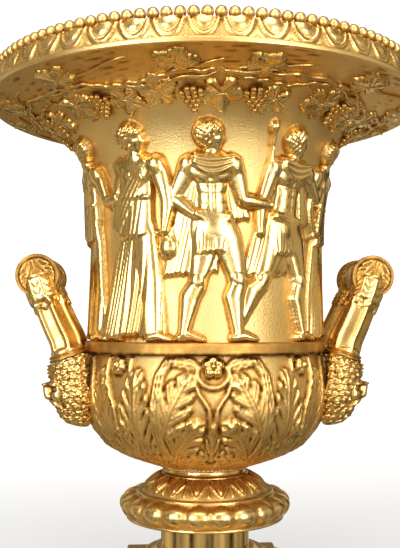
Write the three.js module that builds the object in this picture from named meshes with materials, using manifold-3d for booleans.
// A gilt-bronze mantel urn: a bell-shaped krater with a beaded egg-and-dart lip, a vine under
// the flare, a frieze of walking figures on a ledge, an acanthus bowl, a pair of fluted loop
// handles that rise from bearded masks, and a gadrooned foot on a drum, a ring and a plinth.
// Millimetres, +Z up. The origin is the middle of the plinth's underside.
import * as THREE from "three";
import { mergeVertices } from "three/addons/utils/BufferGeometryUtils.js";
import Module from "manifold-3d";

const wasm = await Module();
wasm.setup();

// Fits
const gap = 0.3; // left between castings that are cut to each other's shape
const wall = 3.2; // thickness of the cast bell and bowl
const sunk = 0.8; // how far applied ornament sinks into the metal behind it

// Heights of the stacked pieces, from the bottom up
const plinthHeight = 22;
const ringHeight = 13;
const drumHeight = 19.3;
const footHeight = 34;
const bowlHeight = 70;
const bellHeight = 167.3;

// Plinth, ring and drum
const plinthSide = 112;
const plinthStep = 5; // the top step's set-back and height
const ringRadius = 42;
const ringTopRadius = 31.5;
const drumRadius = 28;

// Foot
const gadroons = 22;
const gadroonDepth = 2.6;
const torusRadius = 54.8;
const torusHeight = 15;
const footBaseRadius = 50;
const footFilletRadius = 43.5;
const footFilletHeight = 1.8;
const leafMouldRadius = 40.5;
const leafMouldSwell = 1.8; // how far the leaf moulding swells out of its slope
const neckRadius = 25.2;
const neckFilletRadius = 27.4;
const neckHeight = 7.2; // the plain band under the bowl, with its fillet
const neckFilletHeight = 1.4;

// Bowl
const bowlSeatRadius = 31;
const bowlRimRadius = 71.5;
const bowlSeatPull = 25; // how far the side runs outwards as it leaves the seat
const bowlFullness = 14.3; // how far the side swells beyond the rim before the relief
const bowlDepthPull = 20; // height of the widest pull above the seat
const leafUnits = 8;
const leafRelief = 2.2;

// Bell
const ledgeOverhang = 4.3; // how far the ledge stands out beyond the bowl's rim
const ledgeHeight = 7.2;
const ledgeWidth = 5.6; // the figures' ground in front of the wall
const waistInset = 4.3; // how far the wall's curve is pulled in below the flare
const flarePull = 2.7; // how far out the flare's curve is pulled from the wall
const flareDrop = 11; // how far below its edge the flare's curve is pulled
const lipOverhang = 2.4; // how far the lip stands out beyond the flare's edge
const lipRadius = 133.8;
const lipHeight = 16.2;
const lipFillet = 2.6;
const lipWidth = 12;
const lipLean = 4; // how far the moulding falls back towards the rim's top
const beads = 122;
const beadRadius = 3.1;
const eggs = 48;
const eggHeight = 9.6;
const eggRise = 2.2; // how far an egg stands out of its moulding
const eggDrop = 1.5; // an egg's top below the beads

// Vine under the flare
const vineRadius = 101;
const vineStemRadius = 2.2;
const vineSway = 9;
const vineWaves = 8;
const vineLeafRadius = 11;
const vineLeafRise = 3;
const grapeRadius = 4;

// Frieze
const figures = 10;
const figureHeight = 127;
const reliefDepth = 7;

// Handles and masks
const handleBulge = 18.8; // from a collar's centre out to the middle of the grip
const handleRise = 50; // from the collars' centres to the middle of the grip
const handleSpread = 40; // between the two legs at the collars
const handleTopSpread = 34; // between them where they meet the grip
const handleLegRadius = 10.2;
const handleThinRadius = 8.8;
const handleGripRadius = 11.4;
const handleFlutes = 6;
const gripDiscRadius = 13.2;
const gripDiscWidth = 8;
const gripDiscSpread = 40; // between the middles of a grip's two end discs
const handleSteps = 10;
const collarRadius = 12.6;
const collarHeight = 3.4;
const collarStandOff = 8.6; // a collar's centre beyond the ledge, seen from the front
const collarDrop = 2.8; // a collar's centre below the ledge's underside
const collarLean = THREE.MathUtils.degToRad(19);
const maskHeight = 42;
const maskWidth = 27;
const maskDepth = 28;

// Radii that follow from the bowl's rim
const ledgeRadius = bowlRimRadius + ledgeOverhang;
const wallRadius = ledgeRadius - ledgeWidth;
const collarReach = ledgeRadius + collarStandOff;

// Levels that follow from the heights
const ringLevel = plinthHeight;
const drumLevel = ringLevel + ringHeight;
const footLevel = drumLevel + drumHeight;
const bowlLevel = footLevel + footHeight;
const bellLevel = bowlLevel + bowlHeight;
const ledgeTop = bellLevel + ledgeHeight;
const lipTop = bellLevel + bellHeight;
const lipLevel = lipTop - lipHeight;
const collarLevel = bellLevel - collarDrop;

// How finely round things are faceted
const bodyColumns = 48;
const hollowColumns = 24;
const stemColumns = 24;
const flareSteps = 7;
const flareStart = 3; // the step where the frieze ends and the flare's finer facets begin

const gilt = (name, roughness) =>
  new THREE.MeshStandardMaterial({ name, color: 0xd9a441, metalness: 1, roughness });
const mattGilt = gilt("matt_gilt", 0.42);
const brightGilt = gilt("bright_gilt", 0.22);

// Solids and meshes

function solid(geometry) {
  const bare = geometry.index ? geometry.toNonIndexed() : geometry.clone();
  bare.deleteAttribute("normal");
  bare.deleteAttribute("uv");
  const merged = mergeVertices(bare, 1e-4);
  return new wasm.Manifold(new wasm.Mesh({
    numProp: 3,
    vertProperties: new Float32Array(merged.attributes.position.array),
    triVerts: new Uint32Array(merged.index.array),
  }));
}

function meshOf(name, body, material) {
  const { vertProperties, numProp, triVerts } = body.getMesh();
  const positions = new Float32Array(triVerts.length * 3);
  triVerts.forEach((vertex, i) => {
    for (let axis = 0; axis < 3; axis++) positions[i * 3 + axis] = vertProperties[vertex * numProp + axis];
  });
  const geometry = new THREE.BufferGeometry();
  geometry.setAttribute("position", new THREE.BufferAttribute(positions, 3));
  geometry.computeVertexNormals();
  const mesh = new THREE.Mesh(geometry, material);
  mesh.name = name;
  return mesh;
}

// One solid of bodies that overlap, with the small voids left between them filled
function joined(bodies) {
  const pieces = bodies.reduce((whole, body) => whole.add(body)).decompose();
  return pieces.filter((piece) => piece.volume() > 0).reduce((whole, piece) => whole.add(piece));
}

// A solid turned about Z from [radius, height] points that run up from the axis and back to it.
// swell(angle, radius, height) raises the surface outwards, with angle 0 at the front.
function turned(profile, columns, swell) {
  const geometry = new THREE.LatheGeometry(profile.map(([r, z]) => new THREE.Vector2(r, z)), columns);
  geometry.rotateX(Math.PI / 2);
  if (swell) {
    const places = geometry.attributes.position;
    for (let i = 0; i < places.count; i++) {
      const [x, y, z] = [places.getX(i), places.getY(i), places.getZ(i)];
      const radius = Math.hypot(x, y);
      if (radius < 1e-6) continue;
      const scale = 1 + swell(Math.atan2(x, -y), radius, z) / radius;
      places.setXYZ(i, x * scale, y * scale, z);
    }
  }
  return solid(geometry);
}

// Points of a cubic curve between two profile corners, without its first point
function bend(from, pullFrom, pullTo, to, steps) {
  const curve = new THREE.CubicBezierCurve(
    ...[from, pullFrom, pullTo, to].map(([r, z]) => new THREE.Vector2(r, z)),
  );
  return curve.getPoints(steps).slice(1).map((p) => [p.x, p.y]);
}

// Points of a bow from one profile corner to another that swells outwards by a sag, both ends in
function bow([r0, z0], [r1, z1], sag, steps) {
  const length = Math.hypot(r1 - r0, z1 - z0);
  return Array.from({ length: steps + 1 }, (_, i) => {
    const t = i / steps;
    const swell = (4 * sag * t * (1 - t)) / length;
    return [r0 + (r1 - r0) * t + (z1 - z0) * swell, z0 + (z1 - z0) * t - (r1 - r0) * swell];
  });
}

// A profile moved sideways by a distance, inwards when it runs upwards and that is positive
function offset(profile, distance) {
  return profile.map(([r, z], i) => {
    const [r0, z0] = profile[Math.max(i - 1, 0)];
    const [r1, z1] = profile[Math.min(i + 1, profile.length - 1)];
    const length = Math.hypot(r1 - r0, z1 - z0);
    return [r - (distance * (z1 - z0)) / length, z + (distance * (r1 - r0)) / length];
  });
}

// A place on a turned surface: an angle from the front, a radius and a height
const around = (angle, radius, height) =>
  new THREE.Vector3(radius * Math.sin(angle), -radius * Math.cos(angle), height);

// An eight-sided lump stretched along the outward, sideways and upright directions at its place
function lump(centre, deep, wide, tall) {
  const geometry = new THREE.OctahedronGeometry(1);
  geometry.scale(deep, wide, tall);
  geometry.rotateZ(Math.atan2(centre.y, centre.x));
  geometry.translate(centre.x, centre.y, centre.z);
  return solid(geometry);
}

// A tube along points, closed on itself or capped, whose sections are drawn by place(share, turn)
function swept(steps, columns, closed, place) {
  const rings = closed ? steps : steps + 1;
  const vertices = [];
  for (let step = 0; step < rings; step++) {
    for (let column = 0; column < columns; column++) {
      vertices.push(...place(step / steps, (column / columns) * 2 * Math.PI, column).toArray());
    }
  }
  const triangles = [];
  for (let step = 0; step < steps; step++) {
    for (let column = 0; column < columns; column++) {
      const next = (column + 1) % columns;
      const [low, high] = [step * columns, ((step + 1) % rings) * columns];
      triangles.push(low + column, low + next, high + next, low + column, high + next, high + column);
    }
  }
  const last = steps * columns;
  for (let column = 1; !closed && column < columns - 1; column++) {
    triangles.push(0, column + 1, column, last, last + column, last + column + 1);
  }
  const geometry = new THREE.BufferGeometry();
  geometry.setAttribute("position", new THREE.Float32BufferAttribute(vertices, 3));
  geometry.setIndex(triangles);
  return solid(geometry);
}

// A limb through joints, thick by its radii there, with an edge of its section facing outwards
function chain(joints, radii, columns = 3, flat = 1) {
  return swept(joints.length - 1, columns, false, (share, turn) => {
    const i = Math.round(share * (joints.length - 1));
    const before = joints[Math.max(i - 1, 0)];
    const after = joints[Math.min(i + 1, joints.length - 1)];
    const outwards = new THREE.Vector3(joints[i].x, joints[i].y, 0).normalize();
    const sideways = new THREE.Vector3().subVectors(after, before).cross(outwards).normalize();
    return joints[i].clone()
      .addScaledVector(outwards, radii[i] * flat * Math.cos(turn))
      .addScaledVector(sideways, radii[i] * Math.sin(turn));
  });
}

// Bell

const wallFoot = [wallRadius, ledgeTop];
const flareEdge = [lipRadius - lipOverhang, lipLevel];
const flarePulls = [
  [wallRadius - waistInset, lipLevel - 1.6 * flareDrop],
  [wallRadius + flarePull, lipLevel - flareDrop],
];
const flareCurve = new THREE.CubicBezierCurve(
  ...[wallFoot, ...flarePulls, flareEdge].map(([r, z]) => new THREE.Vector2(r, z)),
);

// Where the bare wall's curve crosses a height or, farther out, a radius
function curveAt(axis, value) {
  let [low, high] = [0, 1];
  for (let i = 0; i < 24; i++) {
    const middle = (low + high) / 2;
    if (flareCurve.getPoint(middle)[axis] < value) low = middle;
    else high = middle;
  }
  return flareCurve.getPoint(low);
}

const wallAt = (height) => curveAt("y", height).x;
const flareAt = (radius) => curveAt("x", radius).y;
const onFlare = (angle, radius, below) => around(angle, radius, flareAt(radius) - below);

// The wall behind the frieze needs only half of the flare's facets
function bellForm() {
  const curve = bend(wallFoot, ...flarePulls, flareEdge, flareSteps);
  const [waist, ...flare] = curve.slice(flareStart);
  const lower = turned([
    [0, bellLevel],
    [ledgeRadius, bellLevel],
    [ledgeRadius, ledgeTop],
    wallFoot,
    ...curve.slice(0, flareStart),
    waist,
    [0, waist[1]],
  ], bodyColumns / 2);
  const upper = turned([
    [0, waist[1]],
    waist,
    ...flare,
    [lipRadius, lipLevel],
    [lipRadius, lipLevel + lipFillet],
    [lipRadius - lipLean, lipTop],
    [0, lipTop],
  ], bodyColumns);
  return lower.add(upper);
}

function bellHollow() {
  const outer = [wallFoot, ...bend(wallFoot, ...flarePulls, flareEdge, flareSteps - 2)];
  const inner = offset(outer, wall).slice(1, -1);
  const mouth = lipRadius - lipWidth;
  return turned([
    [0, bellLevel - 1],
    [wallRadius - wall, bellLevel - 1],
    [wallRadius - wall, ledgeTop],
    ...inner,
    [mouth, lipTop - 0.4 * lipHeight],
    [mouth, lipTop + 2 * beadRadius],
    [0, lipTop + 2 * beadRadius],
  ], hollowColumns);
}

// The beads stand on the rim, sunk to their widest part, inside the straight sides of its facets
function beadRow() {
  const row = (lipRadius - lipLean) * Math.cos(Math.PI / bodyColumns) - beadRadius - sunk / 2;
  return Array.from({ length: beads }, (_, i) =>
    lump(around((i / beads) * 2 * Math.PI, row, lipTop), beadRadius, beadRadius, beadRadius));
}

function eggBand() {
  const halfPitch = (Math.PI * lipRadius) / eggs;
  const level = lipTop - 0.5 * eggHeight - eggDrop;
  const fall = (lipLean * (level - lipLevel - lipFillet)) / (lipHeight - lipFillet);
  const back = (0.5 * eggHeight * lipLean) / (lipHeight - lipFillet);
  const reach = (lipRadius - fall) * Math.cos(Math.PI / eggs) - back;
  return Array.from({ length: eggs }, (_, i) =>
    lump(
      around(((i + 0.5) / eggs) * 2 * Math.PI, reach, level),
      back + eggRise, 0.84 * halfPitch, 0.5 * eggHeight,
    ));
}

// Vine: a stem that sways round the flare, with leaves and grapes in its bends

function vineStem() {
  return swept(2 * vineWaves, 3, true, (share, turn) => {
    const angle = -share * 2 * Math.PI;
    const radius = vineRadius + vineSway * Math.cos(vineWaves * angle);
    const out = vineStemRadius * Math.sin(turn);
    return onFlare(angle, radius + out, 1.2 * vineStemRadius * Math.cos(turn));
  });
}

// A leaf of five lobes, highest in its middle, whose edge dips into the flare
function vineLeaf(angle, middle) {
  const points = 10;
  return swept(2, points, false, (share, turn, column) => {
    const reach = share === 0.5 ? vineLeafRadius * (column % 2 ? 0.5 : 1) : 0;
    const radius = middle - reach * Math.cos(turn);
    const below = share === 0 ? vineLeafRise : -share * sunk;
    return onFlare(angle + (reach * Math.sin(turn)) / middle, radius, below);
  });
}

function grapes(angle, middle) {
  return [-1, 1].map((side) =>
    lump(onFlare(angle + (0.8 * side * grapeRadius) / middle, middle + side * grapeRadius, 0),
      1.3 * grapeRadius, grapeRadius, grapeRadius));
}

function vine() {
  const pitch = (2 * Math.PI) / vineWaves;
  const bends = Array.from({ length: vineWaves }, (_, i) => [
    vineLeaf((i + 0.5) * pitch, vineRadius - 0.4 * vineSway),
    ...grapes(i * pitch, vineRadius + 0.5 * vineSway),
  ]);
  return [vineStem(), ...bends.flat()];
}

// Frieze: figures as shares of their height, posed by angles from straight down in degrees

const frame = {
  ankle: 0.035, shin: 0.245, thigh: 0.25, hip: 0.05, trunk: 0.29, shoulder: 0.1,
  upperArm: 0.165, forearm: 0.145, neck: 0.045, head: 0.066, foot: 0.08,
};

// legs and arms are [upper, lower] angles, the trailing one first; lean tips the trunk
const poses = [
  { legs: [[-10, -4], [20, -4]], arms: [[-24, 40], [20, 78]], lean: -2, robe: false, holds: "staff" },
  { legs: [[-20, -30], [14, 2]], arms: [[-20, -4], [42, 140]], lean: 4, robe: false, holds: "torch" },
  { legs: [[-10, -16], [9, 6]], arms: [[-22, 14], [30, 62]], lean: -3, robe: true, holds: "drum" },
  { legs: [[-6, -8], [13, -4]], arms: [[-18, 12], [28, 100]], lean: 2, robe: true, holds: "bowl" },
  { legs: [[-14, -20], [8, 4]], arms: [[-14, 16], [16, -4]], lean: 3, robe: true, holds: "jug" },
];

const swing = ([u, v], degrees, length) => [
  u + length * Math.sin(THREE.MathUtils.degToRad(degrees)),
  v - length * Math.cos(THREE.MathUtils.degToRad(degrees)),
];

// Joints of a pose in the frieze's own plane, as shares of the figure's height
function jointsOf(pose) {
  const reaches = pose.legs.map(([upper, lower]) =>
    -swing(swing([0, 0], upper, frame.thigh), lower, frame.shin)[1]);
  const pelvis = [0, frame.ankle + Math.max(...reaches)];
  const chest = swing(pelvis, 180 - pose.lean, frame.trunk);
  const head = swing(chest, 180 - 0.5 * pose.lean, frame.neck + frame.head);
  const sides = [-1, 1].map((side, i) => {
    const hip = [pelvis[0] + side * frame.hip, pelvis[1]];
    const knee = swing(hip, pose.legs[i][0], frame.thigh);
    const ankle = swing(knee, pose.legs[i][1], frame.shin);
    const shoulder = [chest[0] + side * frame.shoulder, chest[1] - 0.02];
    const elbow = swing(shoulder, pose.arms[i][0], frame.upperArm);
    const hand = swing(elbow, pose.arms[i][1], frame.forearm);
    return { side, hip, knee, ankle, shoulder, elbow, hand };
  });
  return { pelvis, chest, head, sides };
}

// at(place, lift) puts a joint on the wall, lifted by a share of the relief's depth
function figure(pose, angle) {
  const at = ([u, v], lift) => {
    const height = ledgeTop + v * figureHeight;
    return around(angle + (u * figureHeight) / wallRadius, wallAt(height) + lift * reliefDepth, height);
  };
  const size = (share) => share * figureHeight;
  const limb = (joints, lifts, shares, ...form) =>
    chain(joints.map((joint, i) => at(joint, lifts[i])), shares.map(size), ...form);
  const { pelvis, chest, head, sides } = jointsOf(pose);
  const [trailing, leading] = sides;
  const waist = [pelvis[0] * 0.6 + chest[0] * 0.4, pelvis[1] * 0.6 + chest[1] * 0.4];
  const nape = [0.5 * (chest[0] + head[0]), chest[1] + 0.03];
  const crown = [head[0], head[1] + frame.head];
  const hem = [0.5 * (trailing.ankle[0] + leading.ankle[0]), 0.04];
  const skirt = pose.robe ? hem : [pelvis[0], pelvis[1] - 0.06];
  const spread = pose.robe ? 0.06 + 0.3 * Math.abs(leading.ankle[0] - trailing.ankle[0]) : 0.05;
  const parts = [
    limb([skirt, waist, chest, nape, head, crown], [-0.1, -0.1, -0.1, 0.2, 0.1, 0],
      [spread, 0.066, 0.095, 0.03, 0.06, 0.02], 4, 0.8),
  ];
  for (const { side, hip, knee, ankle, shoulder, elbow, hand } of sides) {
    const lift = side > 0 ? 0.4 : 0.2;
    const toe = [ankle[0] + frame.foot, 0.018];
    parts.push(pose.robe
      ? limb([[ankle[0], 0.05], toe], [0.3, 0.4], [0.04, 0.02])
      : limb([hip, knee, ankle, toe], [0.2, 0.3, 0.1, 0.3], [0.065, 0.05, 0.034, 0.02]));
    parts.push(limb([shoulder, elbow, hand], [lift, lift, lift], [0.04, 0.035, 0.026]));
  }
  if (!pose.robe) {
    const cloak = [[chest[0] - 0.1, 0.36], [chest[0] - 0.05, chest[1]]];
    parts.push(limb(cloak, [-0.3, -0.3], [0.1, 0.08], 3, 0.6));
  }
  return [...parts, held(pose.holds, leading.hand, at, limb, size)];
}

function held(kind, [u, v], at, limb, size) {
  switch (kind) {
    case "bowl":
      return limb([[u, v - 0.01], [u, v + 0.035]], [0.3, 0.3], [0.015, 0.055], 4);
    case "torch":
      return limb([[u - 0.02, v - 0.15], [u + 0.02, v + 0.1]], [0.25, 0.35], [0.014, 0.04]);
    case "drum":
      return lump(at([u + 0.03, v + 0.02], 0), 0.7 * reliefDepth, size(0.07), size(0.07));
    case "staff":
      return limb([[u + 0.02, 0.03], [u - 0.02, 0.93]], [0.2, 0.2], [0.018, 0.018]);
    default:
      return lump(at([u + 0.01, v - 0.06], 0.1), 0.9 * reliefDepth, size(0.045), size(0.07));
  }
}

function frieze() {
  return Array.from({ length: figures }, (_, i) =>
    figure(poses[i % poses.length], (i / figures) * 2 * Math.PI)).flat();
}

// The hollow cuts off what the applied ornament leaves inside the wall
const bell = () =>
  joined([bellForm(), ...beadRow(), ...eggBand(), ...vine(), ...frieze()]).subtract(bellHollow());

// Bowl: leaves in the middle of each unit and rosettes between them, raised on its curve

function bowlOutside(steps) {
  const seat = [bowlSeatRadius, bowlLevel];
  const rim = [bowlRimRadius, bellLevel];
  const pulls = [
    [bowlSeatRadius + bowlSeatPull, bowlLevel + 0.45 * bowlDepthPull],
    [bowlRimRadius + bowlFullness, bowlLevel + bowlDepthPull],
  ];
  return [seat, ...bend(seat, ...pulls, rim, steps)];
}

function leafSwell(angle, radius, height) {
  const share = (height - bowlLevel) / bowlHeight;
  if (share < 0.02 || share > 0.97) return 0;
  const unit = (2 * Math.PI) / leafUnits;
  const across = 2 * Math.abs(THREE.MathUtils.euclideanModulo(angle / unit, 1) - 0.5);
  const edge = 0.85 * Math.sin(Math.PI * Math.min(1, 0.15 + share));
  const leaf = across < edge ? Math.cos((across / edge) * 0.5 * Math.PI) : 0;
  const rosette = Math.exp(-((share - 0.83) ** 2) / 0.012 - (1 - across) ** 2 / 0.05);
  return leafRelief * Math.max(leaf, rosette);
}

function bowl() {
  const form = turned([[0, bowlLevel], ...bowlOutside(8), [0, bellLevel]], 6 * leafUnits, leafSwell);
  const inner = offset(bowlOutside(5), wall).slice(1, -1);
  const hollow = turned([
    [0, inner[0][1]], ...inner,
    [bowlRimRadius - wall, bellLevel], [bowlRimRadius - wall, bellLevel + 1], [0, bellLevel + 1],
  ], hollowColumns);
  return form.subtract(hollow);
}

// The space of bowl, ledge and frieze, with the gap that handles and masks leave round them
function bodySpace() {
  const side = offset(bowlOutside(8), -gap);
  const bowlSpace = turned([[0, side[0][1]], ...side, [0, bellLevel + gap]], 6 * leafUnits, leafSwell);
  const ledge = ledgeRadius + gap;
  const relief = wallRadius + reliefDepth + 2 * gap;
  return bowlSpace.add(turned([
    [0, bellLevel - gap], [ledge, bellLevel - gap], [ledge, ledgeTop + gap], [relief, ledgeTop + 2 * gap],
    [relief, ledgeTop + handleRise], [0, ledgeTop + handleRise],
  ], bodyColumns));
}

// Handles: two fluted legs that lean out under a thicker grip with a disc at each end

function handleLeg(side) {
  const climb = (out, up) => new THREE.Vector3(
    collarReach + out * handleBulge,
    (side * THREE.MathUtils.lerp(handleSpread, handleTopSpread, up)) / 2,
    collarLevel + up * handleRise,
  );
  // the leg rises steeply and then leans out
  const line = [climb(0, 0), climb(0.12, 0.2), climb(0.36, 0.4), climb(0.65, 0.65), climb(0.84, 0.8), climb(1, 1)];
  const path = new THREE.CatmullRomCurve3(line, false, "centripetal");
  return swept(handleSteps, 2 * handleFlutes, false, (share, turn, column) => {
    const along = path.getTangentAt(share);
    const across = new THREE.Vector3(Math.cos(collarLean), 0, -Math.sin(collarLean));
    across.addScaledVector(along, -across.dot(along)).normalize();
    const sideways = new THREE.Vector3().crossVectors(along, across);
    const thinned = THREE.MathUtils.lerp(handleLegRadius, handleThinRadius, share);
    const radius = thinned * (column % 2 ? 0.86 : 1);
    return path.getPointAt(share)
      .addScaledVector(across, radius * Math.cos(turn))
      .addScaledVector(sideways, radius * Math.sin(turn));
  });
}

function gripCylinder(radius, length, middle, facets) {
  const cylinder = new THREE.CylinderGeometry(radius, radius, length, facets);
  cylinder.translate(collarReach + handleBulge, middle, collarLevel + handleRise);
  return solid(cylinder);
}

function handle() {
  const lean = new THREE.Vector3(Math.sin(collarLean), 0, Math.cos(collarLean));
  const legs = [-1, 1].map(handleLeg);
  const grip = gripCylinder(handleGripRadius, gripDiscSpread, 0, 12);
  const collars = [-1, 1].map((side) => {
    const ring = new THREE.CylinderGeometry(collarRadius, collarRadius, collarHeight, 10);
    ring.rotateX(Math.PI / 2).rotateY(collarLean);
    const foot = new THREE.Vector3(collarReach, (side * handleSpread) / 2, collarLevel);
    ring.translate(...foot.addScaledVector(lean, collarHeight / 2).toArray());
    return solid(ring);
  });
  const discs = [-1, 1].map((side) =>
    gripCylinder(gripDiscRadius, gripDiscWidth, (side * gripDiscSpread) / 2, 14));
  const ends = new THREE.BoxGeometry(4 * collarRadius, 2 * handleSpread, 4 * collarRadius);
  ends.translate(0, 0, -2 * collarRadius).rotateY(collarLean).translate(collarReach, 0, collarLevel);
  return joined([grip, ...legs, ...collars, ...discs]).subtract(solid(ends));
}

// Masks: bearded heads under the collars, built from a face, a beard, a nose and curls

function mask(side) {
  const azimuth = side * Math.atan2(handleSpread / 2, collarReach);
  const reach = Math.hypot(handleSpread / 2, collarReach) - 1;
  // down and out are shares of the mask's height and depth, across of its width
  const spot = (down, out, across = 0) => {
    const radius = reach - 0.1 * (down + down ** 3) * maskHeight + out * maskDepth;
    const turn = azimuth + (across * maskWidth) / reach;
    const level = collarLevel - down * maskHeight;
    return new THREE.Vector3(radius * Math.cos(turn), radius * Math.sin(turn), level);
  };
  const form = (place, deep, wide, tall) =>
    lump(place, deep * maskDepth, wide * maskWidth, tall * maskHeight);
  const head = [[0, -0.16, 0.4], [0.22, 0, 0.46], [0.5, -0.05, 0.42], [0.74, 0, 0.42], [1, -0.1, 0.14]];
  const parts = [
    chain(head.map(([down, out]) => spot(down, out)), head.map(([, , wide]) => wide * maskWidth), 6, 1),
    form(spot(0.42, 0.36), 0.2, 0.12, 0.13),
    form(spot(0.6, 0.32), 0.2, 0.3, 0.07),
    ...[-0.36, 0, 0.36].map((across) =>
      form(spot(0.14 + 0.8 * across ** 2, 0.26 - 1.4 * across ** 2, across), 0.24, 0.24, 0.15)),
    form(spot(0.84, 0.22), 0.24, 0.24, 0.17),
  ];
  const above = new THREE.BoxGeometry(4 * collarRadius, 2 * handleSpread, maskHeight);
  above.translate(0, 0, maskHeight / 2 - gap).rotateY(collarLean);
  above.translate(collarReach, (side * handleSpread) / 2, collarLevel);
  return joined(parts).subtract(solid(above));
}

// Foot: a gadrooned torus, a fillet, a swelling leaf moulding and a plain band at the neck

function foot() {
  const torusTop = footLevel + torusHeight;
  const filletTop = torusTop + footFilletHeight;
  const bandFoot = bowlLevel - neckHeight;
  const base = [footBaseRadius, footLevel];
  const shoulder = [footFilletRadius, torusTop];
  const sag = torusRadius - 0.5 * (base[0] + shoulder[0]);
  const profile = [
    [0, footLevel],
    ...bow(base, shoulder, sag, 4),
    [footFilletRadius, filletTop],
    ...bow([leafMouldRadius, filletTop + 0.2], [neckFilletRadius, bandFoot], leafMouldSwell, 3),
    [neckFilletRadius, bandFoot + neckFilletHeight],
    [neckRadius, bandFoot + 1.5 * neckFilletHeight],
    [neckRadius, bowlLevel],
    [0, bowlLevel],
  ];
  const valley = (angle, radius, height) =>
    height > base[1] + 1 && height < torusTop - 1
      ? -gadroonDepth * (0.5 - 0.5 * Math.cos(gadroons * angle))
      : 0;
  return turned(profile, 2 * gadroons, valley);
}

const drum = () => turned(
  [[0, drumLevel], [drumRadius, drumLevel], [drumRadius, footLevel], [0, footLevel]], stemColumns);

function ring() {
  const neck = [ringTopRadius + 2, drumLevel - 0.2 * ringHeight];
  return turned([
    [0, ringLevel],
    ...bow([ringRadius - 1.5, ringLevel], [ringRadius - 2.5, drumLevel - 0.3 * ringHeight], 2, 3),
    neck,
    [ringTopRadius, drumLevel],
    [0, drumLevel],
  ], stemColumns);
}

// The plinth is a square slab under a smaller one that its edge runs up to
function plinth() {
  const corner = plinthSide / Math.SQRT2;
  const inner = (plinthSide - 2 * plinthStep) / Math.SQRT2;
  const shoulder = plinthHeight - plinthStep;
  return turned([
    [0, 0], [corner, 0], [corner, shoulder], [inner + 2, shoulder], [inner, shoulder + 2],
    [inner, plinthHeight], [0, plinthHeight],
  ], 4);
}

// The urn, from the plinth up

const urn = new THREE.Group();
const block = meshOf("plinth", plinth(), brightGilt);
block.rotation.z = Math.PI / 4;
urn.add(block);
urn.add(meshOf("base_ring", ring(), brightGilt));
urn.add(meshOf("drum", drum(), brightGilt));
urn.add(meshOf("foot", foot(), brightGilt));
urn.add(meshOf("bowl", bowl(), mattGilt));
urn.add(meshOf("bell", bell(), mattGilt));

// Both sides are alike: the left one is the right one turned half round
const body = bodySpace();
const loop = handle().subtract(body);
for (const [name, turn] of [["right", 0], ["left", Math.PI]]) {
  const side = new THREE.Group();
  side.rotation.z = turn;
  side.add(meshOf(`handle_${name}`, loop, brightGilt));
  for (const across of [-1, 1]) {
    const place = (name === "right") === (across < 0) ? "front" : "back";
    side.add(meshOf(`mask_${name}_${place}`, mask(across).subtract(body), mattGilt));
  }
  urn.add(side);
}

export default urn;
